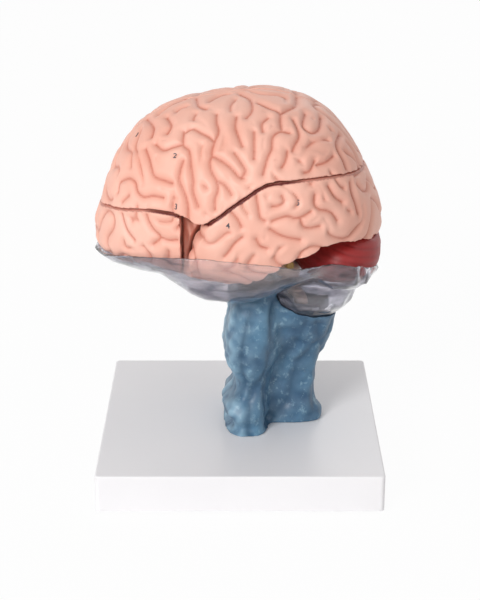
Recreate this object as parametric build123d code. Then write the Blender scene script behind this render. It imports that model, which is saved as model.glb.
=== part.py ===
from build123d import *
import math
import os

os.makedirs("parts", exist_ok=True)

# A life-size take-apart brain on a blue post and a square white base, in millimetres.
# +X is the back of the head, -Y the left side, +Z up; the origin is the middle of the base's
# underside, on the plane that the rubber feet stand on.

# Base
base_width = 180.0          # along X
base_depth = 180.0          # along Y
base_body = 24.0            # height of the moulded box
base_wall = 2.6             # side walls
base_top = 3.0              # thickness of the top
base_corner = 3.0           # radius of the upright corners
base_edge = 1.2             # radius round the top
foot_diameter = 13.0
foot_height = 2.5
foot_show = 1.0             # how far a foot stands below the box
foot_inset = 17.0           # from each side to a foot's centre
foot_boss_wall = 2.4
foot_clearance = 0.2

# Post
post_height = 95.0          # base top to the brain's datum, where the post's crown ends
post_front = -12.0          # front of the column at the base
post_column_back = 21.0     # back of the column at the base
post_column_half = 36.0     # half-width of the column at the base
post_wing_back = 54.0       # back of the wing at the base
post_wing_half = 15.0
post_crown_back = 63.0      # back of the wing under the bowl
post_crown_half = 25.0
post_seat_gap = 0.3         # post to tray

# Post screws, up through the base
post_screw_diameter = 5.0
post_screw_grip = 16.0      # length of screw in the post
post_screw_head = 9.5
post_screw_head_height = 3.2
post_washer_diameter = 13.0
post_washer_thickness = 1.2
post_screw_places = [(4.0, -20.0), (4.0, 20.0), (38.0, 0.0)]
hole_clearance = 0.5        # on the diameter of a hole that a screw passes
pilot_clearance = 0.2       # on the diameter of a hole that a screw or pin holds in

# Brain, overall
brain_length = 183.5        # frontal pole to occipital pole
brain_width = 142.0
brain_height = 117.5        # underside of the temporal lobes to the crown
midline_gap = 0.6           # between left and right pieces
seam_gap = 0.5              # between pieces of one side
core_half_width = 42.0      # midline to the wall that the temporal lobe lies against
recess_front = -35.5        # rear edge of the orbital part, in front of the temporal pole

# Tray
tray_wall = 2.0
tray_clearance = 1.2        # cerebrum to tray
tray_clearance_back = 2.8   # cerebellum to tray
tray_screw_diameter = 3.0
tray_screw_head = 6.0
tray_screw_length = 14.0
tray_screw_places = [(2.0, -8.0), (2.0, 8.0), (50.0, 0.0)]

# Pins
pin_diameter = 5.0
pin_in_lower = 10.0         # length held in the lower piece
pin_in_upper = 8.0          # length standing up into the piece that lifts off
pin_slip = 0.6              # on the diameter of a hole that a piece lifts off
side_pin_half = 8.0         # each side of the face that it crosses
small_pin_diameter = 3.0
small_pin_half = 6.0
cerebellum_pin_diameter = 4.0
nerve_diameter = 5.0
nerve_length = 17.0

# The outlines below are drawn at a length of 183.5, a width of 142 and a height of 117.5 above a
# datum 120 above the ground, and follow the brain's sizes.
drawn_length, drawn_width, drawn_height, drawn_datum = 183.5, 142.0, 117.5, 120.0
base_top_z = foot_show + base_body
datum = base_top_z + post_height
low_line = 10.0             # the temporal lobes' underside above the datum


def bx(v):
    return v * brain_length / drawn_length


def by(v):
    return v * brain_width / drawn_width


def bz(v):
    rel = v - drawn_datum - low_line
    return datum + low_line + (rel * brain_height / drawn_height if rel > 0 else rel)


def power(v, e):
    return math.copysign(abs(v) ** e, v)


def ring(points):
    n = len(points)
    return Wire([Edge.make_spline([Vector(*p) for p in points], periodic=True,
                                  parameters=[k / n for k in range(n + 1)])])


def cross_section(x, yc, half, low, mid, high, upper=2.2, lower=2.8, count=20):
    """A rounded section across the brain, blunter below its widest line than above it."""
    points = []
    for k in range(count):
        a = 2 * math.pi * k / count
        n, h = (upper, high - mid) if math.sin(a) >= 0 else (lower, mid - low)
        points.append((x, yc + half * power(math.cos(a), 2 / n), mid + h * power(math.sin(a), 2 / n)))
    return ring(points)


def form(front, rows, back=None, grow=0.0, yc=0.0, upper=2.2, lower=2.8):
    """Loft from the front point through sections (x, half-width, low, mid, high) to the back point."""
    end = (back or rows[-1])[0]
    middle = (bx(front[0]) + bx(end)) / 2
    reach = (bx(end) - bx(front[0])) / 2

    def stretch(x):
        return middle + (x - middle) * (reach + grow) / reach

    items = [Vertex(stretch(bx(front[0])), by(yc), bz(front[1]))]
    for x, half, low, mid, high in rows:
        items.append(cross_section(stretch(bx(x)), by(yc), by(half) + grow, bz(low) - grow, bz(mid),
                                   bz(high) + grow, upper, lower))
    if back:
        items.append(Vertex(stretch(bx(back[0])), by(yc), bz(back[1])))
    return Solid.make_loft(items, False)


def end_row(point, row, share=0.3):
    """The small flat end at a pole."""
    x, mid = point
    return x, row[1] * share, mid - (row[3] - row[2]) * share, mid, mid + (row[4] - row[3]) * share


def half_form(front, rows, back, gap, upper=2.2, lower=2.8, count=12):
    """The left half of a form, flat along the midline gap."""
    items = []
    for x, half, low, mid, high in (end_row(front, rows[0]), *rows, end_row(back, rows[-1])):
        points = []
        for k in range(count + 1):
            a = math.pi * k / count - math.pi / 2
            n, h = (upper, bz(high) - bz(mid)) if math.sin(a) >= 0 else (lower, bz(mid) - bz(low))
            points.append(Vector(bx(x), -gap / 2 - (by(half) - gap / 2) * power(max(math.cos(a), 0.0), 2 / n),
                                 bz(mid) + h * power(math.sin(a), 2 / n)))
        side = Edge.make_spline(points, parameters=[k / count for k in range(count + 1)])
        items.append(Wire([side, Edge.make_line(points[-1], points[0])]))
    return Solid.make_loft(items, False)


def upright(rows, power_n=2.6, count=20):
    """Loft of upright sections (z, front x, back x, half-width) with flat ends."""
    wires = []
    for z, x0, x1, half in rows:
        points = []
        for k in range(count):
            a = 2 * math.pi * k / count
            points.append(((x0 + x1) / 2 + (x1 - x0) / 2 * power(math.cos(a), 2 / power_n),
                           half * power(math.sin(a), 2 / power_n), z))
        wires.append(ring(points))
    return Solid.make_loft(wires, False)


def curtain(line, z_end, shift=0.0, side=200.0):
    """Everything between a curve drawn in the XZ plane and the level z_end, right across the brain."""
    pts = [Vector(bx(x), -side, bz(z) + shift) for x, z in line]
    curve = Edge.make_spline(pts)
    a, b = pts[0], pts[-1]
    c, d = Vector(b.X, -side, z_end), Vector(a.X, -side, z_end)
    face = Face(Wire([curve, Edge.make_line(b, c), Edge.make_line(c, d), Edge.make_line(d, a)]))
    return Solid.extrude(face, Vector(0, 2 * side, 0))


def core_room(line, shift):
    """Upright room of the core inside its plan curve, which the temporal lobe lies against."""
    pts = [Vector(bx(x) + (shift if k > 1 else 0), by(y) - shift, 0) for k, (x, y) in enumerate(line)]
    parts = [Edge.make_line(pts[0], pts[1]), Edge.make_spline(pts[1:])]
    a, b = pts[0], pts[-1]
    c, d = Vector(b.X, by(drawn_width), 0), Vector(a.X, by(drawn_width), 0)
    face = Face(Wire(parts + [Edge.make_line(b, c), Edge.make_line(c, d), Edge.make_line(d, a)]))
    return Solid.extrude(face, Vector(0, 0, 600))


def rod(diameter, start, end):
    axis = Vector(*end) - Vector(*start)
    return Solid.make_cylinder(diameter / 2, axis.length, Plane(Vector(*start), z_dir=axis))


def lowest(solid, x, y):
    """Level of a solid's underside over one point of the plan."""
    hit = solid & (Pos(x, y, 0) * Cylinder(0.15, 2000))
    return hit.bounding_box().min.Z


def write(name, *solids):
    body = solids[0] if len(solids) == 1 else Compound(children=list(solids))
    body.label = name
    export_step(body, "parts/" + name + ".step")


def single(shape):
    """The one solid of a result, largest first if a cut leaves a crumb."""
    solids = sorted(shape.solids(), key=lambda s: -s.volume)
    return solids[0]


# Brain forms
cerebrum_front, cerebrum_back = (-93.0, 159.0), (90.5, 166.0)
cerebrum_rows = [
    (-92.2, 8.0, 151.0, 160.0, 167.0),
    (-89.5, 17.0, 147.5, 161.0, 174.0),
    (-84.5, 27.0, 144.5, 162.0, 191.0),
    (-75.0, 39.0, 142.0, 164.0, 211.0),
    (-60.0, 50.5, 140.5, 166.0, 228.5),
    (-38.0, 61.0, 137.0, 169.0, 240.0),
    (-25.0, 65.2, 133.6, 170.5, 243.2),
    (-12.0, 68.5, 131.0, 172.0, 245.2),
    (12.0, 71.0, 130.0, 174.0, 247.5),
    (35.0, 69.5, 132.0, 176.0, 243.6),
    (55.0, 62.0, 138.0, 176.0, 233.2),
    (72.0, 47.5, 145.0, 174.0, 212.5),
    (83.0, 31.0, 151.0, 170.0, 191.5),
    (88.8, 15.0, 158.0, 168.0, 176.5),
]
cerebellum_front, cerebellum_back = (33.0, 146.0), (90.3, 148.0)
cerebellum_rows = [
    (34.5, 14.0, 139.0, 146.0, 153.0),
    (41.0, 32.0, 132.5, 146.0, 161.0),
    (51.0, 46.0, 130.5, 146.0, 167.0),
    (63.0, 51.2, 130.5, 146.5, 170.0),
    (75.0, 46.3, 132.5, 147.0, 168.0),
    (83.5, 36.0, 136.5, 147.5, 163.0),
    (88.8, 18.0, 141.5, 148.0, 155.0),
]
# Hollows of the tray below the brain: centre x, y, z and half-sizes
fossa_hollow = (-5.0, 38.0, 146.0, 37.0, 25.0, 23.0)
bowl_hollow = (45.0, 0.0, 122.0, 28.0, 33.5, 21.5)

# Where the pieces part, seen from the side: front to back
seam_line = [(-104, 168), (-92, 172.6), (-86, 178), (-73.5, 181.5), (-54, 185), (-45, 185), (-36, 183.5),
             (-24, 179.5), (-17, 182), (-6, 190.5), (6, 199), (14, 204), (29, 206.5), (47, 207), (66, 205),
             (76, 202), (86, 197), (104, 188)]
tentorium_line = [(-16, 118), (-8, 127), (0, 134), (10, 141.5), (20, 149), (28, 155), (36, 158), (42, 160.5),
                  (51, 164.5), (58, 166), (68, 164), (78, 161), (86, 157), (104, 146)]
rim_line = [(-108, 141), (-92, 146), (-76.5, 152), (-52, 157), (-30, 159.5), (-12, 159.5), (8, 158), (24, 156),
            (37, 153), (52, 150), (71, 144), (84, 137.5), (92, 131), (108, 117)]
# The same seen from above, left side: front to back
core_line = [(-60, -core_half_width), (18, -core_half_width), (30, -38.5), (40, -29), (46, -16), (48, 4)]

half = half_form(cerebrum_front, cerebrum_rows, cerebrum_back, midline_gap)
cerebellum_half = half_form(cerebellum_front, cerebellum_rows, cerebellum_back, midline_gap)
far = 3 * (brain_width + brain_length)
temporal_front = (-31.8, 155.0)
temporal_rows = [
    (-31.2, 4.0, 151.5, 155.0, 158.5),
    (-28.5, 10.0, 145.5, 156.0, 166.0),
    (-23.0, 16.5, 140.5, 157.5, 178.0),
    (-12.0, 24.0, 135.5, 162.0, 193.0),
    (4.0, 31.0, 131.0, 168.0, 212.0),
    (25.0, 42.0, 124.0, 174.0, 236.0),
    (50.0, 58.0, 114.0, 178.0, 256.0),
    (75.0, 76.0, 108.0, 180.0, 270.0),
    (100.0, 90.0, 104.0, 180.0, 276.0),
]
temporal_y = -53.0

# Cerebrum, left side
upper_room = curtain(seam_line, bz(drawn_datum) + 3 * brain_height, seam_gap / 2)
lower_room = curtain(seam_line, bz(drawn_datum) - 3 * brain_height, -seam_gap / 2)
above_tentorium = curtain(tentorium_line, bz(drawn_datum) + 3 * brain_height, seam_gap / 2)
below_tentorium = curtain(tentorium_line, bz(drawn_datum) - 3 * brain_height, -seam_gap / 2)
frontoparietal = single(half & upper_room)
lower_half = single(half & lower_room)
front_box = Pos(bx(recess_front) - far / 2, 0, 0) * Box(far, 2 * far, 6 * far)
front_part = single(lower_half & front_box)
over = single((lower_half - front_box) - (below_tentorium.moved(Pos(0, 0, seam_gap))))
core_middle = single(over & core_room(core_line, 0.0))
core = single(front_part + core_middle)
temporal_form = form(temporal_front, temporal_rows, yc=temporal_y, upper=2.2, lower=2.4)
temporal = single(single(over - core_room(core_line, seam_gap)) & temporal_form)

# Cerebellum and brainstem
cerebellum = single(cerebellum_half & below_tentorium)
stem_rows = [
    (bz(106.0), bx(33.0), bx(45.0), by(7.0)),
    (bz(113.0), bx(29.5), bx(43.5), by(8.5)),
    (bz(120.0), bx(25.0), bx(41.0), by(11.0)),
    (bz(127.0), bx(21.5), bx(39.5), by(15.5)),
    (bz(134.0), bx(19.5), bx(38.5), by(18.0)),
    (bz(142.0), bx(20.5), bx(37.5), by(16.0)),
    (bz(150.0), bx(22.0), bx(36.5), by(13.0)),
    (bz(162.0), bx(22.0), bx(36.5), by(12.0)),
]
stem_blank = upright(stem_rows, 2.2)
cerebellum_clear = form(cerebellum_front, cerebellum_rows, cerebellum_back, grow=seam_gap)
brainstem = single(single(stem_blank & below_tentorium) - cerebellum_clear)

# Tray
rim_room = curtain(rim_line, bz(drawn_datum) - 3 * brain_height)


def section_at(rows, x):
    """Half-width, low, mid and high of a form at x, by a smooth curve through its sections."""
    xs = [r[0] for r in rows]
    if x <= xs[0] or x >= xs[-1]:
        return rows[0][1:] if x <= xs[0] else rows[-1][1:]
    k = max(i for i in range(len(xs) - 1) if xs[i] <= x)
    h = xs[k + 1] - xs[k]
    t = (x - xs[k]) / h
    out = []
    for c in range(1, 5):
        def slope(i):
            lo, hi = max(i - 1, 0), min(i + 1, len(rows) - 1)
            return (rows[hi][c] - rows[lo][c]) / (xs[hi] - xs[lo])
        p0, p1, m0, m1 = rows[k][c], rows[k + 1][c], slope(k) * h, slope(k + 1) * h
        out.append((2 * t ** 3 - 3 * t ** 2 + 1) * p0 + (t ** 3 - 2 * t ** 2 + t) * m0
                   + (3 * t ** 2 - 2 * t ** 3) * p1 + (t ** 3 - t ** 2) * m1)
    return out


def reach(shape, centre, dy, dz):
    """Distance from the centre to where a ray last leaves a rounded section."""
    yc, half, low, mid, high, upper, lower = shape

    def inside(t):
        y, z = dy * t - yc, centre + dz * t - mid
        n, h = (upper, high - mid) if z >= 0 else (lower, mid - low)
        return abs(y / half) ** n + abs(z / h) ** n <= 1

    steps = [t for t in range(0, 130) if inside(float(t))]
    if not steps:
        return 0.0
    a, b = float(steps[-1]), steps[-1] + 1.0
    for _ in range(12):
        m = (a + b) / 2
        a, b = (m, b) if inside(m) else (a, m)
    return a


tray_stations = [-93.0, -92.2, -89.5, -84.5, -75, -60, -48, -38, -30, -20, -5, 8, 18, 26, 35, 45, 55, 64, 70, 76,
                 83.5, 88.8, 90.5]


def tray_form(grow_brain, grow_hollow, count=26):
    """One form under the whole brain: the cerebrum, two temporal hollows, the bowl and the cerebellum."""
    middle, half_run = bx(cerebrum_front[0] + cerebrum_back[0]) / 2, bx(cerebrum_back[0] - cerebrum_front[0]) / 2
    items = []
    for x in tray_stations:
        w, low, mid, high = section_at(cerebrum_rows, x)
        if x in (cerebrum_front[0], cerebrum_back[0]):
            w, low, high = w / 4, mid - (mid - low) / 4, mid + (high - mid) / 4
        centre = bz(mid) if x < 72 else bz(154.0) if x < 80 else bz(148.0)
        shapes = [(0.0, by(w) + grow_brain, bz(low) - grow_brain, bz(mid), bz(high) + grow_brain, 2.2, 2.8)]
        for cx, cy, cz, a, b, c in (fossa_hollow, (fossa_hollow[0], -fossa_hollow[1], *fossa_hollow[2:]),
                                    bowl_hollow):
            inside = 1 - ((bx(x) - bx(cx)) / (bx(a) + grow_hollow)) ** 2
            if inside > 0.004:
                f = inside ** 0.5
                hw, hz = (by(b) + grow_hollow) * f, (c * brain_height / drawn_height + grow_hollow) * f
                shapes.append((by(cy), hw, bz(cz) - hz, bz(cz), bz(cz) + hz, 2.0, 2.0))
        if cerebellum_rows[0][0] <= x:
            w, low, mid, high = section_at(cerebellum_rows, x)
            if x == cerebrum_back[0]:
                w, low, high = w / 4, mid - (mid - low) / 4, mid + (high - mid) / 4
            grow_back = grow_brain + tray_clearance_back - tray_clearance
            shapes.append((0.0, by(w) + grow_back, bz(low) - grow_back, bz(mid), bz(high) + grow_back, 2.2, 2.8))
        points = []
        for k in range(count + 1):
            a = -math.pi + math.pi * k / count
            far_out = sum(reach(s, centre, math.cos(a), math.sin(a)) ** 24 for s in shapes) ** (1 / 24)
            points.append(Vector(middle + (bx(x) - middle) * (half_run + grow_brain) / half_run,
                                 far_out * math.cos(a), centre + far_out * math.sin(a)))
        side = Edge.make_spline(points, parameters=[k / count for k in range(count + 1)])
        items.append(Wire([side, Edge.make_line(points[-1], points[0])]))
    return Solid.make_loft(items, True)


hollow = tray_form(tray_clearance, 0.0)
tray = single(single(tray_form(tray_clearance + tray_wall, tray_wall) & rim_room) - hollow)

# Post
z0 = base_top_z
crown = datum + 9.0
wing_front = (post_front + post_column_back) / 2
# Level, column (front, back, half-width), wing (back, half-width)
post_rows = [
    (z0, post_front, post_column_back, post_column_half, post_wing_back, post_wing_half),
    (z0 + 0.11 * post_height, post_front, post_column_back - 1, post_column_half - 1.5,
     post_wing_back - 2.5, post_wing_half - 1),
    (z0 + 0.22 * post_height, post_front + 3, post_column_back - 1, post_column_half - 5,
     post_wing_back - 4, post_wing_half - 2),
    (z0 + 0.34 * post_height, post_front + 7, post_column_back, post_column_half - 8,
     post_wing_back - 3, post_wing_half - 2),
    (z0 + 0.43 * post_height, post_front + 3, post_column_back + 3, post_column_half - 6,
     post_wing_back - 2, post_wing_half - 1),
    (z0 + 0.53 * post_height, post_front, post_column_back + 5, post_column_half - 3,
     post_wing_back + 2, post_wing_half + 1),
    (z0 + 0.67 * post_height, post_front + 1, post_column_back + 6, post_column_half - 1,
     post_crown_back - 1.5, post_crown_half - 5),
    (z0 + 0.82 * post_height, post_front + 3, post_column_back + 6, post_column_half - 1,
     post_crown_back, post_crown_half),
    (z0 + 0.95 * post_height, post_front + 5, post_column_back + 5, post_column_half - 3,
     post_crown_back - 2, post_crown_half - 3),
    (crown, post_front + 8, post_column_back + 3, post_column_half - 6, post_column_back + 8, 12.0),
]


def post_form(count=40):
    """The column and its wing as one form, through T-shaped sections."""
    wires = []
    for z, front, back, half_y, wing_back, wing_half in post_rows:
        cx = (front + back) / 2
        column = (0.0, (back - front) / 2, -half_y, 0.0, half_y, 2.8, 2.8)
        wing = ((wing_back - wing_front) / 2 + wing_front - cx, (wing_back - wing_front) / 2,
                -wing_half, 0.0, wing_half, 3.0, 3.0)
        points = []
        for k in range(count):
            a = 2 * math.pi * k / count
            r = sum(reach(s, 0.0, math.cos(a), math.sin(a)) ** 16 for s in (column, wing)) ** (1 / 16)
            points.append((cx + r * math.cos(a), r * math.sin(a), z))
        wires.append(ring(points))
    return Solid.make_loft(wires, False)


post = post_form()
for x, y in post_screw_places:
    post = single(post - rod(post_screw_diameter + pilot_clearance, (x, y, base_top_z - 1),
                             (x, y, base_top_z + post_screw_grip + 1)))
for x, y in tray_screw_places:
    floor = lowest(hollow, bx(x), by(y))
    post = single(post - rod(tray_screw_diameter + pilot_clearance,
                             (bx(x), by(y), floor - tray_screw_length - 1), (bx(x), by(y), floor + 9)))
post = single(post - tray_form(tray_clearance + tray_wall + post_seat_gap, tray_wall + post_seat_gap))

# Tray screws, down into the post
tray_screws = []
for x, y in tray_screw_places:
    floor = lowest(hollow, bx(x), by(y))
    x, y = bx(x), by(y)
    sink = 0.35 * tray_wall
    cone = Pos(x, y, floor + 0.1 - sink) * Cone(tray_screw_diameter / 2, tray_screw_head / 2, 2 * sink)
    shank = rod(tray_screw_diameter, (x, y, floor - tray_screw_length), (x, y, floor - sink))
    tray_screws.append(single((cone & (Pos(x, y, floor - 50.1) * Box(20, 20, 100))) + shank))
    hole = rod(tray_screw_diameter + hole_clearance, (x, y, floor - 3 * tray_wall), (x, y, floor + 1))
    seat = Pos(x, y, floor + 0.1 - sink) * Cone((tray_screw_diameter + hole_clearance) / 2,
                                                (tray_screw_head + hole_clearance) / 2, 2 * sink)
    tray = single(tray - hole - seat)

# Base
base = Box(base_width, base_depth, base_body, align=(Align.CENTER, Align.CENTER, Align.MIN))
base = fillet(base.edges().filter_by(Axis.Z), base_corner)
base = fillet(base.faces().sort_by(Axis.Z)[-1].edges(), base_edge)
room = Box(base_width - 2 * base_wall, base_depth - 2 * base_wall, base_body - base_top,
           align=(Align.CENTER, Align.CENTER, Align.MIN))
room = fillet(room.edges().filter_by(Axis.Z), max(base_corner - base_wall, 0.4))
base = base - room
boss_diameter = foot_diameter + foot_clearance * 2 + foot_boss_wall * 2
feet = []
for sx in (-1, 1):
    for sy in (-1, 1):
        fx, fy = sx * (base_width / 2 - foot_inset), sy * (base_depth / 2 - foot_inset)
        base += Pos(fx, fy, base_body / 2 - base_top / 4) * Cylinder(boss_diameter / 2, base_body - base_top / 2)
        base -= Pos(fx, fy, 0) * Cylinder(foot_diameter / 2 + foot_clearance, 2 * (foot_height - foot_show))
        foot = Pos(fx, fy, foot_height / 2) * Cylinder(foot_diameter / 2, foot_height)
        foot = fillet(foot.edges().sort_by(Axis.Z)[0], 0.5)
        feet.append(single(foot))
pad_height = 5.0            # screw bosses below the underside of the top
base = Pos(0, 0, foot_show) * base
for x, y in post_screw_places:
    base += Pos(x, y, base_top_z - base_top - pad_height / 2 + 0.5) * Cylinder(
        post_washer_diameter / 2 + 1.5, pad_height + 1)
post_screws, post_washers = [], []
for x, y in post_screw_places:
    under = base_top_z - base_top - pad_height
    base -= rod(post_screw_diameter + hole_clearance, (x, y, under - 1), (x, y, base_top_z + 1))
    ring_blank = rod(post_washer_diameter, (x, y, under - post_washer_thickness), (x, y, under))
    post_washers.append(single(ring_blank - rod(post_screw_diameter + hole_clearance,
                                                (x, y, under - 10), (x, y, under + 1))))
    head_top = under - post_washer_thickness
    head = Pos(x, y, head_top - post_screw_head_height / 2) * Cylinder(post_screw_head / 2,
                                                                       post_screw_head_height)
    head = fillet(head.edges().sort_by(Axis.Z)[0], 1.0)
    slot = Pos(x, y, head_top - post_screw_head_height) * Box(1.2, post_screw_head, 2.4)
    cross = Pos(x, y, head_top - post_screw_head_height) * Box(post_screw_head * 0.6, 1.2, 2.4)
    slot_short = slot & (Pos(x, y, head_top - post_screw_head_height) * Box(20, post_screw_head * 0.6, 20))
    shank = rod(post_screw_diameter, (x, y, head_top - 0.2), (x, y, base_top_z + post_screw_grip))
    post_screws.append(single((head + shank) - slot_short - cross))
base = single(base)

# Upright pins that the frontoparietal piece lifts off
upright_pins = []
for x, y, holder in ((-58.0, -22.0, "core"), (56.0, -24.0, "temporal")):
    px, py = bx(x), by(y)
    seam = lowest(upper_room, px, py)
    pin = rod(pin_diameter, (px, py, seam - pin_in_lower), (px, py, seam + pin_in_upper))
    pin = single(fillet(pin.edges().sort_by(Axis.Z)[-1], 1.2))
    upright_pins.append(pin)
    held = rod(pin_diameter + pilot_clearance, (px, py, seam - pin_in_lower - 0.5), (px, py, seam + 20))
    slip = rod(pin_diameter + pin_slip, (px, py, seam - 20), (px, py, seam + pin_in_upper + 1))
    frontoparietal = single(frontoparietal - slip)
    if holder == "core":
        core = single(core - held)
    else:
        temporal = single(temporal - held)

# Side pins between core and temporal lobe
side_pins = []
for x, z in ((0.0, 160.0), (16.0, 182.0)):
    wall = by(-core_half_width)
    a, b = (bx(x), wall - side_pin_half, bz(z)), (bx(x), wall + side_pin_half, bz(z))
    side_pins.append(rod(pin_diameter, a, b))
    hole = rod(pin_diameter + pilot_clearance, (a[0], a[1] - 0.5, a[2]), (b[0], b[1] + 0.5, b[2]))
    core = single(core - hole)
    temporal = single(temporal - hole)

# Pins across the midline
core_pins, cerebellum_pins = [], []
for x, z in ((-64.0, 162.0), (-4.0, 165.0)):
    a, b = (bx(x), -side_pin_half, bz(z)), (bx(x), side_pin_half, bz(z))
    core_pins.append(rod(pin_diameter, a, b))
    core = single(core - rod(pin_diameter + pilot_clearance, (a[0], a[1] - 0.5, a[2]), (b[0], b[1] + 0.5, b[2])))
for x, z in ((54.0, 146.0), (74.0, 148.0)):
    a, b = (bx(x), -side_pin_half, bz(z)), (bx(x), side_pin_half, bz(z))
    cerebellum_pins.append(rod(cerebellum_pin_diameter, a, b))
    cerebellum = single(cerebellum - rod(cerebellum_pin_diameter + pilot_clearance,
                                         (a[0], a[1] - 0.5, a[2]), (b[0], b[1] + 0.5, b[2])))

# Brainstem pins and nerve stubs
stem_pins = []
for y in (-6.0, 6.0):
    px, py = bx(28.0), by(y)
    joint = lowest(above_tentorium, px, py)
    pin = rod(small_pin_diameter, (px, py, joint - small_pin_half), (px, py, joint + small_pin_half))
    stem_pins.append(pin)
    hole = rod(small_pin_diameter + pilot_clearance, (px, py, joint - small_pin_half - 0.5),
               (px, py, joint + small_pin_half + 0.5))
    brainstem = single(brainstem - hole)
    core = single(core - hole)
nerves = []
for s in (-1, 1):
    start = Vector(bx(29.0), s * by(12.0), bz(137.5))
    way = Vector(0.16, s * 1.0, 0.22).normalized()
    end = start + way * nerve_length
    stub = rod(nerve_diameter, tuple(start), tuple(end))
    stub = fillet(stub.edges().filter_by(GeomType.CIRCLE).sort_by(Axis.Y)[0 if s < 0 else -1], 1.0)
    nerves.append(single(stub - brainstem))

write("base_shell", base)
write("rubber_feet", *feet)
write("post", post)
write("post_screws", *post_screws)
write("post_washers", *post_washers)
write("clear_tray", tray)
write("tray_screws", *tray_screws)
write("core_left", core)
write("core_right", core.mirror(Plane.XZ))
write("frontoparietal_left", frontoparietal)
write("frontoparietal_right", frontoparietal.mirror(Plane.XZ))
write("temporooccipital_left", temporal)
write("temporooccipital_right", temporal.mirror(Plane.XZ))
write("cerebellum_left", cerebellum)
write("cerebellum_right", cerebellum.mirror(Plane.XZ))
write("brainstem", brainstem)
write("nerve_stubs", *nerves)
write("frontoparietal_pins_left", *upright_pins)
write("frontoparietal_pins_right", *[p.mirror(Plane.XZ) for p in upright_pins])
write("temporal_pins_left", *side_pins)
write("temporal_pins_right", *[p.mirror(Plane.XZ) for p in side_pins])
write("core_pins", *core_pins)
write("cerebellum_pins", *cerebellum_pins)
write("brainstem_pins", *stem_pins)
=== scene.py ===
import math

import bmesh
import bpy
import numpy as np
from mathutils import Matrix, Vector
from mathutils.bvhtree import BVHTree
from mathutils.kdtree import KDTree


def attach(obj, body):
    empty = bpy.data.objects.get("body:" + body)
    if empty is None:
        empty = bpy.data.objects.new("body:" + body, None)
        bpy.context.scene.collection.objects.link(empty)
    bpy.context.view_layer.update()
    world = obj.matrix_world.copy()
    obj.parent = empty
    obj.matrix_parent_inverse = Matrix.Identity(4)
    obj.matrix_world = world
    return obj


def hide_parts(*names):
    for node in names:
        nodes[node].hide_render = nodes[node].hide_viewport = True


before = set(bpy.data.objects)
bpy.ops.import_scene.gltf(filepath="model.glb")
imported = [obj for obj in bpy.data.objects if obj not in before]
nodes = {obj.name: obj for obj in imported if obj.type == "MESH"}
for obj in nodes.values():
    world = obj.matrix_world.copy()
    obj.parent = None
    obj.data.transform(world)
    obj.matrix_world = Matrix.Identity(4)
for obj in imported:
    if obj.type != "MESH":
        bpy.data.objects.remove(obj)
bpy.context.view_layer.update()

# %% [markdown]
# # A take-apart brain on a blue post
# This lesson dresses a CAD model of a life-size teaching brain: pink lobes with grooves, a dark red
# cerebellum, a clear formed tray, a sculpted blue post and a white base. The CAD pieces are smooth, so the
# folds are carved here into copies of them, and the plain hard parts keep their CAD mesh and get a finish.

MM = 0.001


def put(name, data):
    """A new object in the scene, at the origin."""
    made = bpy.data.objects.new(name, data)
    bpy.context.scene.collection.objects.link(made)
    return made


def as_mesh(made):
    """What an object's modifiers or its text come to, as a plain mesh."""
    return bpy.data.meshes.new_from_object(made.evaluated_get(bpy.context.evaluated_depsgraph_get()))

# %% [markdown]
# ## The camera
# The photograph looks down on the base by about 21 degrees with a long lens. The base's four top corners
# fix the camera: it stands 0.91 m in front and 0.46 m up, and 1495 pixels of focal length in a picture
# 600 pixels high is a 90 mm lens on a 36 mm sensor.

# %% Camera
PICTURE_WIDTH, PICTURE_HEIGHT, FOCAL_PIXELS = 480, 600, 1495.0
CAMERA_PITCH = math.radians(21.3)
CAMERA_PLACE = Vector((0.0, -0.9090, 0.4614))
SENSOR_LONG_SIDE, FAR_CLIP = 36.0, 50.0

camera_data = bpy.data.cameras.new("camera")
camera_data.lens = SENSOR_LONG_SIDE * FOCAL_PIXELS / PICTURE_HEIGHT
camera_data.sensor_width = SENSOR_LONG_SIDE
camera_data.clip_end = FAR_CLIP
camera = put("camera", camera_data)
camera.location = CAMERA_PLACE
camera.rotation_euler = (math.pi / 2 - CAMERA_PITCH, 0.0, 0.0)
bpy.context.scene.camera = camera


def pixel_ray(px, py):
    """Direction from the camera through a pixel of the 480 x 600 picture."""
    right = (px - PICTURE_WIDTH / 2) / FOCAL_PIXELS
    up = (PICTURE_HEIGHT / 2 - py) / FOCAL_PIXELS
    c, s = math.cos(CAMERA_PITCH), math.sin(CAMERA_PITCH)
    return Vector((right, c + up * s, up * c - s)).normalized()


print("lens", round(camera_data.lens, 1), "mm")

# %% [markdown]
# ## Shader maths in plain expressions
# A material is a graph of nodes. Writing `0.3 + 0.2 * noise` is easier to read than ten lines of links, so
# a small class wraps a socket and turns each operator into a Math node.

# %% Shader helpers
class Signal:
    """A number that varies over a surface: a socket with arithmetic."""

    def __init__(self, shop, socket):
        self.shop, self.socket = shop, socket

    def _math(self, operation, *values):
        return self.shop.add("ShaderNodeMath", {"operation": operation}, dict(enumerate(values)))

    def __add__(self, other):
        return self._math("ADD", self, other)

    __radd__ = __add__

    def __mul__(self, other):
        return self._math("MULTIPLY", self, other)

    __rmul__ = __mul__

    def __sub__(self, other):
        return self._math("SUBTRACT", self, other)

    def __rsub__(self, other):
        return self._math("SUBTRACT", other, self)

    def __pow__(self, other):
        return self._math("POWER", self, other)

    def distance(self, other):
        """How far the number is from another, either way."""
        return self._math("ABSOLUTE", self - other)

    def clamp(self, low=0.0, high=1.0):
        return self._math("MINIMUM", self._math("MAXIMUM", self, low), high)


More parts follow.
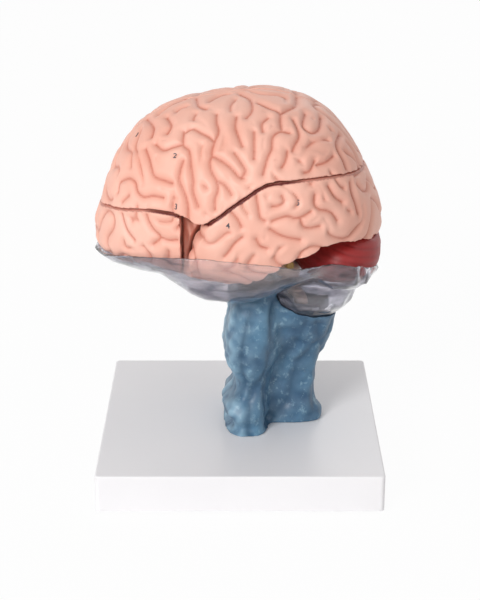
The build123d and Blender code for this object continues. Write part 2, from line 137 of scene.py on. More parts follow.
class Shop:
    """One material's node tree, and the bench where its nodes are made."""

    def __init__(self, name):
        self.material = bpy.data.materials.new(name)
        self.material.use_nodes = True
        self.tree = self.material.node_tree
        self.shader = self.tree.nodes["Principled BSDF"]
        self.output = self.tree.nodes["Material Output"]

    def add(self, kind, settings=None, inputs=None, out=0):
        """A node of a type, with its settings first and then its sockets' values or links."""
        node = self.tree.nodes.new(kind)
        for key, value in (settings or {}).items():
            setattr(node, key, value)
        for key, value in (inputs or {}).items():
            self.feed(node.inputs[key], value)
        return Signal(self, node.outputs[out])

    def feed(self, socket, value):
        """Links a signal to a socket, or sets a plain value directly on it."""
        if isinstance(value, Signal):
            self.tree.links.new(value.socket, socket)
        else:
            socket.default_value = value

    def where(self):
        """A point's place in the object's own coordinates."""
        return self.add("ShaderNodeTexCoord", out="Object")

    def noise(self, scale, detail=3.0, rough=0.55, at=None):
        """Cloudy noise from 0 to 1, with so many lumps to a metre."""
        return self.add("ShaderNodeTexNoise", {"noise_dimensions": "3D"},
                        {"Vector": at or self.where(), "Scale": scale, "Detail": detail, "Roughness": rough})

    def mix(self, factor, a, b):
        """Colour a where the factor is 0, b where it is 1."""
        return self.add("ShaderNodeMix", {"data_type": "RGBA"}, {0: factor, 6: a, 7: b}, out=2)

    def attribute(self, name):
        """A number that was stored on the mesh's points."""
        return self.add("ShaderNodeAttribute", {"attribute_name": name}, out="Fac")

    def bump(self, height, strength, distance):
        return self.add("ShaderNodeBump", {}, {"Height": height, "Strength": strength, "Distance": distance})

    def finish(self, **sockets):
        """Feeds the shader's sockets and hands over the material."""
        for key, value in sockets.items():
            self.feed(self.shader.inputs[key.replace("_", " ")], value)
        return self.material


def paint(red, green, blue):
    """A screen colour, 0 to 255, as the linear colour a shader takes."""
    def linear(v):
        v /= 255.0
        return v / 12.92 if v <= 0.04045 else ((v + 0.055) / 1.055) ** 2.4
    return (linear(red), linear(green), linear(blue), 1.0)


print("shader helpers ready")

# %% [markdown]
# ## Lobe paint
# The lobes are soft matte vinyl, flesh pink, with an orange-brown wash that settles in the grooves, and
# round it a broader soft darkening that is painted shade. The carving step below stores numbers on the
# mesh's points, and the paint follows them: the groove number is how much wash and painted shade there is,
# seam is 1 on the dark parting lines, painted shade in the gaps between pieces, and cut is 1 on the bare
# faces between two pieces. Broad faint noise keeps the pink from looking printed.

# %% Lobe, cerebellum and stem finishes
def lobe_finish():
    shop = Shop("lobe_vinyl")
    groove_wash_and_shade, seam, cut = (shop.attribute(name) for name in ("groove_wash_and_shade", "seam", "cut"))
    broad = shop.noise(22.0, 3.0)
    fine = shop.noise(260.0, 4.0)
    pink = shop.mix(((broad - 0.35) * 1.8).clamp(), paint(239, 178, 158), paint(250, 202, 184))
    # Orange-brown wash in the groove bottoms; the broad soft part of the darkening round it is painted shade.
    washed_and_shaded = shop.mix((groove_wash_and_shade * (0.84 + 0.3 * (fine - 0.5))).clamp(), pink, paint(178, 80, 54))
    faced = shop.mix(cut * 0.7, washed_and_shaded, paint(226, 146, 126))
    # Dark red along the seams: painted shade in the gaps between pieces, widest along the fissure.
    colour = shop.mix((seam * 1.05).clamp(), faced, paint(96, 22, 18))
    height = shop.noise(900.0, 3.0) * 0.35 + fine * 0.65
    return shop.finish(Base_Color=colour, Roughness=(0.42 + 0.16 * fine).clamp(), Specular_IOR_Level=0.42,
                       Coat_Weight=0.08, Coat_Roughness=0.35, Normal=shop.bump(height, 0.10, 0.0006))


def cerebellum_finish():
    shop = Shop("cerebellum_red")
    groove_wash_and_shade = shop.attribute("groove_wash_and_shade")
    fine = shop.noise(180.0, 4.0)
    broad = shop.noise(28.0, 3.0)
    red = shop.mix(((broad - 0.3) * 1.6).clamp(), paint(142, 30, 30), paint(166, 44, 42))
    # Darker red in the slits between the folds: painted shade.
    colour = shop.mix((groove_wash_and_shade * 0.3).clamp(), red, paint(96, 14, 16))
    return shop.finish(Base_Color=colour, Roughness=(0.38 + 0.18 * fine).clamp(), Specular_IOR_Level=0.45,
                       Normal=shop.bump(fine, 0.12, 0.0008))


def plain_finish(name, light, dark, roughness, grain, bump, metallic=0.0):
    """An even finish with a fine speckle between two near colours."""
    shop = Shop(name)
    speck = shop.noise(grain, 4.0)
    colour = shop.mix((speck - 0.3) * 1.6, dark, light)
    rough = (roughness - 0.06 + 0.12 * speck).clamp()
    return shop.finish(Base_Color=colour, Roughness=rough, Metallic=metallic,
                       Normal=shop.bump(speck, bump, 0.0004))


lobe_vinyl = lobe_finish()
cerebellum_red = cerebellum_finish()
stem_cream = plain_finish("stem_cream", paint(232, 206, 184), paint(214, 176, 152), 0.5, 160.0, 0.10)
nerve_yellow = plain_finish("nerve_yellow", paint(228, 202, 128), paint(208, 176, 100), 0.5, 240.0, 0.10)
pin_nylon = plain_finish("pin_nylon", paint(236, 234, 226), paint(220, 216, 204), 0.45, 300.0, 0.06)
print("soft finishes", lobe_vinyl.name, cerebellum_red.name, stem_cream.name)

# %% [markdown]
# ## Post, base and hardware finishes
# The post is hand-painted: a blue ground with lighter brush marks on the high spots. Its side towards the key
# light is painted lighter, painted light, and its folds darker blue, painted shade. The base is smooth satin
# white moulding, with the faint orange-peel that such mouldings have. The tray is clear plastic, painted grey
# as painted shade where no lobe lies close behind it, and greyer where it is seen edge on, also painted shade.
# Level streaks are painted in its wall: the light ones are painted highlights, the dark ones painted shade.
# It is painted clearest where it lies close to a lobe (the attribute hug).

# %% Hard finishes
def post_finish():
    shop = Shop("post_blue_paint")
    fold = shop.attribute("groove_wash_and_shade")
    stretched = shop.add("ShaderNodeMapping", {}, {"Vector": shop.where(), "Scale": (1.0, 1.0, 0.85)})
    broad = shop.noise(38.0, 4.0, 0.6, at=stretched)
    dabs = shop.noise(230.0, 5.0, 0.68, at=stretched)
    crest_and_lit_side = shop.attribute("crest_and_lit_side")
    ground = shop.mix(((broad - 0.36) * 2.6).clamp(), paint(42, 80, 112), paint(84, 130, 160))
    # Lighter paint on the high spots, and lighter on the side towards the key light: painted light.
    rubbed_and_lit = shop.mix((crest_and_lit_side * 1.25).clamp(), ground, paint(156, 192, 212))
    lit = shop.mix(((dabs - 0.54) * 6.0).clamp() * 0.6, rubbed_and_lit, paint(164, 198, 214))
    # Darker blue in the folds: painted shade.
    colour = shop.mix((fold * 0.75).clamp(), lit, paint(36, 72, 100))
    height = broad * 0.5 + dabs * 0.5
    return shop.finish(Base_Color=colour, Roughness=(0.36 + 0.24 * dabs).clamp(), Specular_IOR_Level=0.5,
                       Coat_Weight=0.15, Coat_Roughness=0.25, Normal=shop.bump(height, 0.50, 0.0018))


def base_finish():
    shop = Shop("base_white")
    peel = shop.noise(420.0, 2.0)
    broad = shop.noise(9.0, 2.0)
    colour = shop.mix(((broad - 0.3) * 1.5).clamp(), paint(243, 242, 244), paint(248, 247, 248))
    return shop.finish(Base_Color=colour, Roughness=(0.30 + 0.10 * peel).clamp(), Specular_IOR_Level=0.45,
                       Normal=shop.bump(peel, 0.05, 0.0003))


def tray_finish():
    shop = Shop("tray_clear")
    haze = shop.noise(60.0, 3.0)
    hug = shop.attribute("hug")
    # Grey where no lobe lies close behind, clearer where one does: painted shade seen through the plastic.
    clear = shop.mix(hug, (0.62, 0.60, 0.65, 1.0), (0.96, 0.91, 0.91, 1.0))
    level = shop.add("ShaderNodeMapping", {}, {"Vector": shop.where(), "Scale": (0.5, 0.6, 2.2)})
    streak_noise = shop.noise(44.0, 3.0, 0.55, at=level)
    # Light streaks in the wall: painted highlights.
    painted_glint = ((streak_noise - 0.51) * 8.0).clamp() * (1.0 - 0.6 * hug)
    # Thin dark streaks in the wall: painted shade.
    dark_streak = (1.0 - streak_noise.distance(0.47) * 18.0).clamp() * (1.0 - 0.75 * hug)
    glinted = shop.mix(painted_glint, clear, (0.84, 0.85, 0.91, 1.0))
    dark_streaked = shop.mix((dark_streak * 0.8).clamp(), glinted, (0.20, 0.21, 0.27, 1.0))
    slant = shop.add("ShaderNodeLayerWeight", {}, {"Blend": 0.45}, out="Facing")
    # Greyer where the wall is seen edge on: painted shade.
    colour = shop.mix((slant ** 2.0 * 0.65).clamp(), dark_streaked, (0.27, 0.27, 0.33, 1.0))
    return shop.finish(Base_Color=colour, Roughness=(0.05 + 0.10 * haze).clamp(), Transmission_Weight=0.93,
                       IOR=1.15, Specular_IOR_Level=0.5, Coat_Weight=1.0, Coat_Roughness=0.05,
                       Normal=shop.bump(shop.noise(60.0, 2.0), 0.55, 0.0030))


post_blue = post_finish()
base_white = base_finish()
tray_clear = tray_finish()
foot_rubber = plain_finish("foot_rubber", paint(46, 46, 46), paint(30, 30, 30), 0.75, 300.0, 0.15)
screw_steel = plain_finish("screw_steel", paint(196, 198, 200), paint(168, 170, 174), 0.32, 500.0, 0.05,
                           metallic=1.0)
numeral_ink = plain_finish("numeral_ink", paint(86, 84, 92), paint(66, 64, 72), 0.5, 500.0, 0.05)
KEPT_NODES = [
    (base_white, ["base_shell"]), (foot_rubber, ["rubber_feet"]), (nerve_yellow, ["nerve_stubs"]),
    (screw_steel, ["post_screws", "post_washers", "tray_screws"]),
    (pin_nylon, ["frontoparietal_pins_left", "frontoparietal_pins_right", "temporal_pins_left",
                 "temporal_pins_right", "core_pins", "cerebellum_pins", "brainstem_pins"]),
]
for material, names in KEPT_NODES:
    for name in names:
        nodes[name].data.materials.clear()
        nodes[name].data.materials.append(material)
print("hard finishes", post_blue.name, base_white.name, tray_clear.name)

# %% [markdown]
# ## Even meshes to carve
# A CAD mesh has long thin triangles, which can't hold a groove. Blender's voxel remesh rebuilds a copy of
# the piece in small even squares. Points are then moved as one array of numbers, which is fast.

# %% Mesh helpers
WELD_DISTANCE = 1e-6


def even_copy(node, name, voxel):
    """A welded, evenly remeshed copy of a CAD node, in the same place."""
    mesh = nodes[node].data.copy()
    mesh.materials.clear()
    weld = bmesh.new()
    weld.from_mesh(mesh)
    bmesh.ops.remove_doubles(weld, verts=weld.verts, dist=WELD_DISTANCE)
    weld.to_mesh(mesh)
    weld.free()
    piece = put(name, mesh)
    remesh = piece.modifiers.new("even", "REMESH")
    remesh.mode, remesh.voxel_size, remesh.adaptivity = "VOXEL", voxel, 0.0
    remesh.use_smooth_shade = True
    done = as_mesh(piece)
    piece.modifiers.clear()
    piece.data = done
    return piece


def read_rows(items, field, width, kind=np.float64):
    """One property of all points or edges, as rows of numbers."""
    flat = np.empty(len(items) * width, dtype=kind)
    items.foreach_get(field, flat)
    return flat.reshape(-1, width)


def read_mesh(mesh):
    """A mesh's points, their normals, and its edges as pairs of point numbers."""
    return (read_rows(mesh.vertices, "co", 3), read_rows(mesh.vertices, "normal", 3),
            read_rows(mesh.edges, "vertices", 2, np.int64))


def write_points(mesh, points):
    """Moves all points of a mesh at once."""
    mesh.vertices.foreach_set("co", np.ascontiguousarray(points, dtype=np.float64).ravel())
    mesh.update()


def write_layer(mesh, name, values):
    """Stores one number for each point, which a material reads by its name."""
    layer = mesh.attributes.new(name, "FLOAT", "POINT")
    layer.data.foreach_set("value", np.ascontiguousarray(values, dtype=np.float32))


def relax(values, edges, rounds, pull=0.5):
    """Averages each point's values with its neighbours' values."""
    count = np.zeros(len(values))
    np.add.at(count, edges[:, 0], 1.0)
    np.add.at(count, edges[:, 1], 1.0)
    count = np.maximum(count, 1.0)
    shape = (-1,) + (1,) * (values.ndim - 1)
    for _ in range(rounds):
        total = np.zeros_like(values)
        np.add.at(total, edges[:, 0], values[edges[:, 1]])
        np.add.at(total, edges[:, 1], values[edges[:, 0]])
        values = values + pull * (total / count.reshape(shape) - values)
    return values


def node_tree(*names):
    """A search tree over the surfaces of CAD nodes."""
    points, faces = [], []
    for name in names:
        mesh = nodes[name].data
        start = len(points)
        points += [v.co.copy() for v in mesh.vertices]
        faces += [[start + i for i in p.vertices] for p in mesh.polygons]
    return BVHTree.FromPolygons(points, faces)


print("mesh helpers ready")

# %% [markdown]
# ## Where the grooves run
# The left side's main grooves are read from the photograph as short chains of pixels. Each chain is cast
# from the camera onto the smooth lobes, which gives its path in space, and its mirror image serves the right
# side. Two more chains follow the stretches of the seam that stand open, such as the lateral fissure.

# %% Groove routes
GROOVE_ROUTES = [
    [(183, 130), (182, 143), (188, 150), (190, 165), (192, 180), (192, 192), (197, 207)],
    [(182, 143), (172, 146), (162, 149), (154, 143)],
    [(196, 97), (198, 104), (206, 107)],
    [(184, 131), (192, 127), (200, 131), (209, 136), (213, 140)],
    [(216, 112), (216, 120), (218, 130), (214, 140), (211, 150), (211, 155), (209, 162), (211, 172), (216, 181),
     (217, 190), (214, 200), (214, 210)],
    [(211, 155), (221, 160), (231, 168), (238, 176), (243, 178)],
    [(216, 181), (224, 185), (231, 195)],
    [(236, 115), (235, 125), (238, 135), (242, 145)],
    [(234, 152), (241, 162), (245, 170), (241, 178)],
    [(254, 130), (254, 142), (254, 158)],
    [(290, 131), (280, 130), (273, 136), (272, 147), (268, 156), (265, 166), (263, 174)],
    [(258, 101), (270, 106), (280, 111), (281, 120), (282, 128)],
    [(293, 150), (296, 143), (300, 135), (298, 126), (294, 118)],
    [(288, 150), (286, 160), (282, 167)],
    [(297, 96), (296, 104), (288, 108), (281, 112)],
    [(316, 160), (311, 170), (305, 172)],
    [(322, 116), (320, 128), (312, 131), (304, 124), (306, 112)],
    [(341, 134), (338, 145), (345, 160), (348, 168)],
    [(318, 164), (328, 161), (335, 155)],
    [(268, 116), (262, 122), (263, 130)],
    [(144, 148), (148, 160), (150, 168), (153, 176), (162, 180), (171, 183)],
    [(182, 160), (179, 170), (178, 180), (181, 188), (185, 198), (187, 210), (187, 219)],
    [(116, 192), (118, 182), (127, 178), (133, 182), (136, 192), (142, 197), (152, 196), (162, 198)],
    [(166, 116), (170, 124), (166, 132)],
    [(146, 118), (152, 126), (150, 136)],
    [(240, 92), (250, 98), (252, 108), (246, 116)],
    [(120, 214), (122, 222), (126, 232), (133, 241)],
    [(145, 215), (147, 222), (152, 230), (159, 238), (152, 245)],
    [(159, 238), (167, 241), (176, 241)],
    [(256, 196), (258, 208), (260, 218), (265, 222)],
    [(272, 222), (280, 219), (288, 217), (296, 219), (304, 217), (312, 212)],
    [(272, 207), (279, 206), (284, 202), (282, 196)],
    [(301, 219), (304, 227), (311, 229), (321, 227)],
    [(270, 230), (280, 236), (290, 239), (301, 241)],
    [(256, 240), (260, 247), (267, 250)],
    [(316, 195), (316, 205), (321, 210), (328, 211), (334, 214), (339, 221)],
    [(352, 182), (354, 194), (358, 205), (360, 214)],
    [(231, 213), (237, 220), (241, 228)],
    [(242, 238), (234, 245), (229, 252), (224, 258)],
    [(330, 186), (336, 196), (344, 202)],
]
LOBES = ["frontoparietal", "temporooccipital", "core"]
smooth_left = node_tree(*[lobe + "_left" for lobe in LOBES])


def bend_through(a, b, c, d, t):
    """Catmull-Rom: a smooth curve from b to c, led by a and d."""
    bent = (2 * a - 5 * b + 4 * c - d) * t * t + (3 * b - a - 3 * c + d) * t ** 3
    return 0.5 * (2 * b + (c - a) * t + bent)


def cast_route(route, spacing=0.7):
    """A pixel chain as closely spaced points of a smooth curve on the left side."""
    found = []
    ends = [route[0]] + list(route) + [route[-1]]
    for a, b, c, d in zip(ends, ends[1:], ends[2:], ends[3:]):
        steps = max(2, int(math.hypot(c[0] - b[0], c[1] - b[1]) / spacing))
        for k in range(steps + 1):
            px, py = (bend_through(a[i], b[i], c[i], d[i], k / steps) for i in (0, 1))
            hit = smooth_left.ray_cast(CAMERA_PLACE, pixel_ray(px, py))[0]
            if hit is not None:
                found.append(hit)
    return found


route_points = [p for route in GROOVE_ROUTES for p in cast_route(route)]
print(len(GROOVE_ROUTES), "groove routes,", len(route_points), "points")


def nearest_tree(points):
    """A search tree for the nearest of some points."""
    tree = KDTree(len(points))
    for i, p in enumerate(points):
        tree.insert(p, i)
    tree.balance()
    return tree


def both_sides(points):
    """Search trees for points on the left side and for their mirror images."""
    mirrored = [Vector((p.x, -p.y, p.z)) for p in points]
    return {"left": nearest_tree(points), "right": nearest_tree(mirrored)}


WIDE_SEAMS = [
    [(186, 222), (201, 228), (214, 221), (225, 213), (236, 205), (247, 196), (262, 187), (276, 185),
     (288, 184)],
    [(158, 215), (170, 218), (186, 222)],
]
groove_trees = both_sides(route_points)
wide_trees = both_sides([p for seam in WIDE_SEAMS for p in cast_route(seam)])


# %% [markdown]
# ## Minor grooves from waves
# The main grooves leave bare fields between them. A sum of random waves that all have one wavelength has the
# winding zero lines of a labyrinth, evenly spaced, as brain folds are. The value divided by its slope along
# the surface says roughly how far a point is from the nearest such line.

# %% Random waves of one wavelength
WAVE_COUNT = 30
LEAST_SLOPE = 0.35


def wave_field(points, wavelength, seed):
    """Values and gradients of a sum of waves of one wavelength, at each point."""
    rng = np.random.default_rng(seed)
    ways = rng.normal(size=(WAVE_COUNT, 3))
    ways /= np.linalg.norm(ways, axis=1)[:, None]
    ways *= 2 * math.pi / wavelength
    phase = rng.uniform(0, 2 * math.pi, WAVE_COUNT)
    angle = points @ ways.T + phase
    scale = math.sqrt(2.0 / WAVE_COUNT)
    return np.cos(angle).sum(1) * scale, -(np.sin(angle) @ ways) * scale


def line_distance(points, normals, wavelength, seed):
    """Rough distance along the surface to the nearest zero line of the field."""
    value, slope = wave_field(points, wavelength, seed)
    across = slope - normals * (slope * normals).sum(1)[:, None]
    steep = np.linalg.norm(across, axis=1)
    return np.abs(value) / np.maximum(steep, LEAST_SLOPE * 2 * math.pi / wavelength)


print("wave field ready")

# %% [markdown]
# ## How deep the folds are
# A groove's cross-section is a soft quarter round: steep in the groove, flat on the crown, as the moulded
# folds are. The depth of a point follows its distance to the nearest groove, and the same distance gives the
# paint its wash and, round it, a broader soft darkening that is painted shade. The minor grooves keep clear
# of the main ones, and all of them fade towards the midline.

# %% Folds
FOLD_HALF = 5.8 * MM
ROUTE_DEPTH, ROUTE_WASH = 3.0 * MM, 0.85
MINOR_DEPTH, MINOR_WASH = 2.5 * MM, 0.65
ROUTE_CLEARANCE = 7.0 * MM
THIN_LINE, SOFT_SHADE = 0.75 * MM, 2.4 * MM
FOLD_WAVELENGTH, BEND_WAVELENGTH, CROWN_WAVELENGTH = 23.0 * MM, 60.0 * MM, 11.0 * MM
BEND_SHIFT = 2.0 * MM
MIDLINE_FADE = 6 * MM


def fold_profile(reach):
    """1 in the bottom of a groove, 0 on the crown: a quarter round softened by a parabola."""
    rest = 1.0 - np.clip(reach, 0.0, 1.0)
    return 0.6 * (1.0 - np.sqrt(1.0 - rest ** 2)) + 0.4 * rest ** 2


def distances(points, tree):
    """How far each point is from the nearest point in a search tree."""
    return np.array([tree.find(Vector(p))[2] for p in points])


def fold_depth(points, normals, side, seed):
    """How deep each point sinks for the folds, and how much wash and painted shade it takes."""
    near = distances(points, groove_trees[side])
    flip = np.array([1.0, 1.0 if side == "left" else -1.0, 1.0])
    mirrored, turned = points * flip, normals * flip
    bend = np.stack([wave_field(mirrored, BEND_WAVELENGTH, seed + k)[0] for k in (11, 12, 13)], axis=1)
    minor = line_distance(mirrored + bend * BEND_SHIFT, turned, FOLD_WAVELENGTH, seed)
    minor = minor + np.clip(ROUTE_CLEARANCE - near, 0.0, ROUTE_CLEARANCE) * 0.9
    depth, groove_wash_and_shade = np.zeros(len(points)), np.zeros(len(points))
    for distance, deep, tint in ((near, ROUTE_DEPTH, ROUTE_WASH), (minor, MINOR_DEPTH, MINOR_WASH)):
        depth = np.maximum(depth, deep * fold_profile(distance / FOLD_HALF))
        # A thin line of wash in the groove, and round it a broad soft darkening that is painted shade.
        wash_and_shade = 0.85 * np.exp(-(distance / THIN_LINE) ** 2) + 0.20 * np.exp(-(distance / SOFT_SHADE) ** 2)
        groove_wash_and_shade = np.maximum(groove_wash_and_shade, tint * np.clip(wash_and_shade, 0.0, 1.0))
    crown = wave_field(mirrored, CROWN_WAVELENGTH, seed + 5)[0]
    depth += (0.16 + 0.10 * np.clip(crown, -1.5, 1.5)) * MM
    depth *= 0.35 + 0.65 * np.clip(np.abs(points[:, 1]) / MIDLINE_FADE, 0.0, 1.0)
    return depth, groove_wash_and_shade


print("folds up to", round(ROUTE_DEPTH / MM, 1), "mm deep")

# %% [markdown]
# ## Seams between the lobes
# Faces that lie against another piece stay smooth. The skin's edge along a seam is rounded over and painted
# dark, painted shade in the gap, which gives the parting lines of the photograph, wider along the fissure. The
# cut face's own rim has to sink with the skin beside it, or it would stand up as a thin fin. The flat faces
# between left and right sway to one side together, with their gap kept, so that no light falls straight
# through the parting.

# %% Seams
SEAM_HALF, SEAM_DEPTH, FISSURE_DEPTH = 2.6 * MM, 0.4 * MM, 1.1 * MM
CONTACT_GAP, CONTACT_FACING = 1.3 * MM, 0.55
SEARCH_REACH = 12 * MM
OPEN_REACH = 11.0 * MM
SKIN_REACH, RIM_SPARE, RIM_REACH, RIM_FADE = 5 * MM, 0.4 * MM, 2.5 * MM, 1.0 * MM
MIDLINE_NEAR, MIDLINE_SWAY, MIDLINE_WAVE = 1.2 * MM, 0.7 * MM, 52.0 * MM


def nearest_gaps(points, tree):
    """Distance and direction from each point to the nearest neighbour surface."""
    gap, way = np.full(len(points), 1.0), np.zeros((len(points), 3))
    for i, p in enumerate(points):
        hit, _, _, distance = tree.find_nearest(Vector(p), SEARCH_REACH)
        if hit is not None:
            gap[i] = distance
            way[i] = (hit - Vector(p)) / max(distance, 1e-9)
    return gap, way


def contact(points, normals, edges, neighbours):
    """The gap to the neighbours, and 1 on the faces that lie against them."""
    gap, way = nearest_gaps(points, node_tree(*neighbours))
    mating = (gap < CONTACT_GAP) & ((way * normals).sum(1) > CONTACT_FACING)
    return gap, relax(mating.astype(float), edges, 2)


def seam_rounding(points, normals, depth, gap, mating, wide):
    """How far each point moves in at the seams, and how dark it is painted as painted shade in the gap."""
    edge = np.maximum(gap - 0.6 * MM, 0.0)
    full = SEAM_DEPTH + FISSURE_DEPTH * wide
    rounding = full * fold_profile(edge / (SEAM_HALF * (1 + 0.3 * wide)))
    sunk = normals * (np.maximum(rounding - 0.6 * depth, 0.0) * (1 - mating))[:, None]
    dark = 0.42 + 0.58 * wide
    # Dark paint along the seam edge and the cut face's rim: painted shade in the gap, wider along the fissure.
    seam = dark * np.exp(-(edge / ((0.25 + 0.3 * wide) * MM)) ** 2) * (1 - mating)
    skin = np.nonzero((mating < 0.4) & (gap < SKIN_REACH))[0]
    skin_tree = nearest_tree([Vector(points[k]) for k in skin])
    for w in np.nonzero(mating >= 0.4)[0]:
        _, k, below = skin_tree.find(Vector(points[w]))
        room = full[w] + RIM_SPARE - below
        if room > -RIM_REACH:
            sunk[w] = normals[skin[k]] * max(room, 0.0)
            seam[w] = dark[w] * math.exp(-(min(room, 0.0) / RIM_FADE) ** 2)
    return sunk, seam


def midline_sway(points, normals):
    """The sideways move of the faces between left and right."""
    inner = np.clip((np.abs(normals[:, 1]) - 0.5) / 0.3, 0.0, 1.0) * (np.abs(points[:, 1]) < MIDLINE_NEAR)
    return MIDLINE_SWAY * np.sin(2 * math.pi * points[:, 0] / MIDLINE_WAVE) * inner


print("seams rounded over", round(SEAM_HALF / MM, 1), "mm")

# %% [markdown]
# ## Carving the lobes
# Now each lobe is copied, carved and painted. Its points move inwards along their normals, so no lobe grows
# into its neighbour. The two upper lobes ride on the bodies that lift off, and the rest stay on the stand.

# %% Carve the lobes
LOBE_VOXEL = 0.92 * MM
LOBE_SEED = 100


def carve_lobe(lobe, side):
    """An even copy of a lobe with its folds pressed in, which stands for the CAD node."""
    node = f"{lobe}_{side}"
    piece = even_copy(node, node + "_folds", LOBE_VOXEL)
    mesh = piece.data
    points, normals, edges = read_mesh(mesh)
    points = relax(points, edges, 2, 0.4)
    gap, mating = contact(points, normals, edges, [f"{other}_{side}" for other in LOBES if other != lobe])
    wide = np.clip(1.0 - distances(points, wide_trees[side]) / OPEN_REACH, 0.0, 1.0) ** 0.7
    depth, groove_wash_and_shade = fold_depth(points, normals, side, LOBE_SEED)
    depth = relax(depth * (1.0 - mating), edges, 1)
    sunk, seam = seam_rounding(points, normals, depth, gap, mating, wide)
    sunk[:, 1] -= midline_sway(points, normals)
    write_points(mesh, points - normals * depth[:, None] - relax(sunk, edges, 2))
    # The groove layer holds the wash and the painted shade round it, the seam layer painted shade in the gaps.
    write_layer(mesh, "groove_wash_and_shade", np.clip(groove_wash_and_shade * (1 - mating), 0.0, 1.0))
    write_layer(mesh, "seam", np.clip(seam, 0.0, 1.0))
    write_layer(mesh, "cut", np.clip(mating, 0.0, 1.0))
    mesh.materials.append(lobe_vinyl)
    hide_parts(node)
    body = {"frontoparietal_left": "upper_left", "frontoparietal_right": "upper_right"}.get(node, "stand")
    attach(piece, body)
    print(piece.name, len(mesh.vertices), "points, deepest", round(depth.max() / MM, 2), "mm")
    return piece


carved = {f"{lobe}_{side}": carve_lobe(lobe, side) for lobe in LOBES for side in ("left", "right")}

# %% [markdown]
# ## The island behind the fissure
# Where the front of the temporal lobe stands away, the photograph shows a small folded patch deep in the gap.
# It is a low cushion on the core's inner wall: a height map on a grid, as tall as the free room in front of
# each of its points allows, with upright ridges, and closed by a second grid just inside the wall.

# %% Island heights
ISLAND_X = (-35.0 * MM, -13.0 * MM)
ISLAND_COLUMNS, ISLAND_ROWS = 44, 76
ISLAND_HEIGHT = 11.0 * MM
ISLAND_SPARE = 1.0 * MM
WALL_PROBE, WALL_Y, WALL_LIMIT = 41.2 * MM, 42 * MM, 47 * MM
BOTTOM_MARGIN, TOP_MARGIN = 1.5 * MM, 2.0 * MM
RIDGE_SPACING, RIDGE_SWAY = 7.5 * MM, 9 * MM


def island_heights(side):
    """Places on the core's wall, and how tall the cushion stands on each."""
    out = Vector((0, -1 if side == "left" else 1, 0))
    wall = node_tree(f"core_{side}")
    around = node_tree(f"temporooccipital_{side}", f"frontoparietal_{side}", "clear_tray")
    heights = np.zeros((ISLAND_COLUMNS + 1, ISLAND_ROWS + 1))
    places = np.zeros((ISLAND_COLUMNS + 1, ISLAND_ROWS + 1, 3))
    for i in range(ISLAND_COLUMNS + 1):
        u = i / ISLAND_COLUMNS
        x = ISLAND_X[0] + u * (ISLAND_X[1] - ISLAND_X[0])
        above = wall.ray_cast(Vector((x, out.y * WALL_PROBE, 0.3)), Vector((0, 0, -1)))[0]
        beneath = wall.ray_cast(Vector((x, out.y * WALL_PROBE, 0.05)), Vector((0, 0, 1)))[0]
        low_z, high_z = beneath.z + BOTTOM_MARGIN, above.z - TOP_MARGIN
        for j in range(ISLAND_ROWS + 1):
            v = j / ISLAND_ROWS
            z = low_z + v * (high_z - low_z)
            hit = wall.ray_cast(Vector((x, 0, z)) + out * 0.1, -out)[0]
            flat = hit is not None and abs(hit.y) < WALL_LIMIT
            places[i, j] = (x, hit.y if flat else out.y * WALL_Y, z)
            if flat:
                free = around.ray_cast(Vector(places[i, j]) + out * 0.05 * MM, out)[3]
                near = around.find_nearest(Vector(places[i, j]))[3]
                room = min(free if free is not None else 1.0, 2.5 * near)
                dome = (4 * u * (1 - u)) ** 0.16 * (4 * v * (1 - v)) ** 0.16
                ridge_turn = x / RIDGE_SPACING + 0.35 * math.sin(z / RIDGE_SWAY)
                ridge = 0.86 + 0.14 * math.cos(2 * math.pi * ridge_turn)
                heights[i, j] = max(0.0, min(ISLAND_HEIGHT * dome * ridge, room - ISLAND_SPARE))
    for _ in range(3):
        inner = heights[1:-1, 1:-1]
        mean = (heights[:-2, 1:-1] + heights[2:, 1:-1] + heights[1:-1, :-2] + heights[1:-1, 2:]) / 4
        heights[1:-1, 1:-1] = np.minimum(inner, 0.5 * inner + 0.5 * mean)
    return places, heights, out


# %% [markdown]
# ## From heights to a closed patch
# Two sheets of squares share the same places: the front one stands on the wall by the heights, and the rear
# one lies just inside the wall. A ring of squares round the rim closes them into one body.

# %% Island patches
ISLAND_SUNK = 0.25 * MM


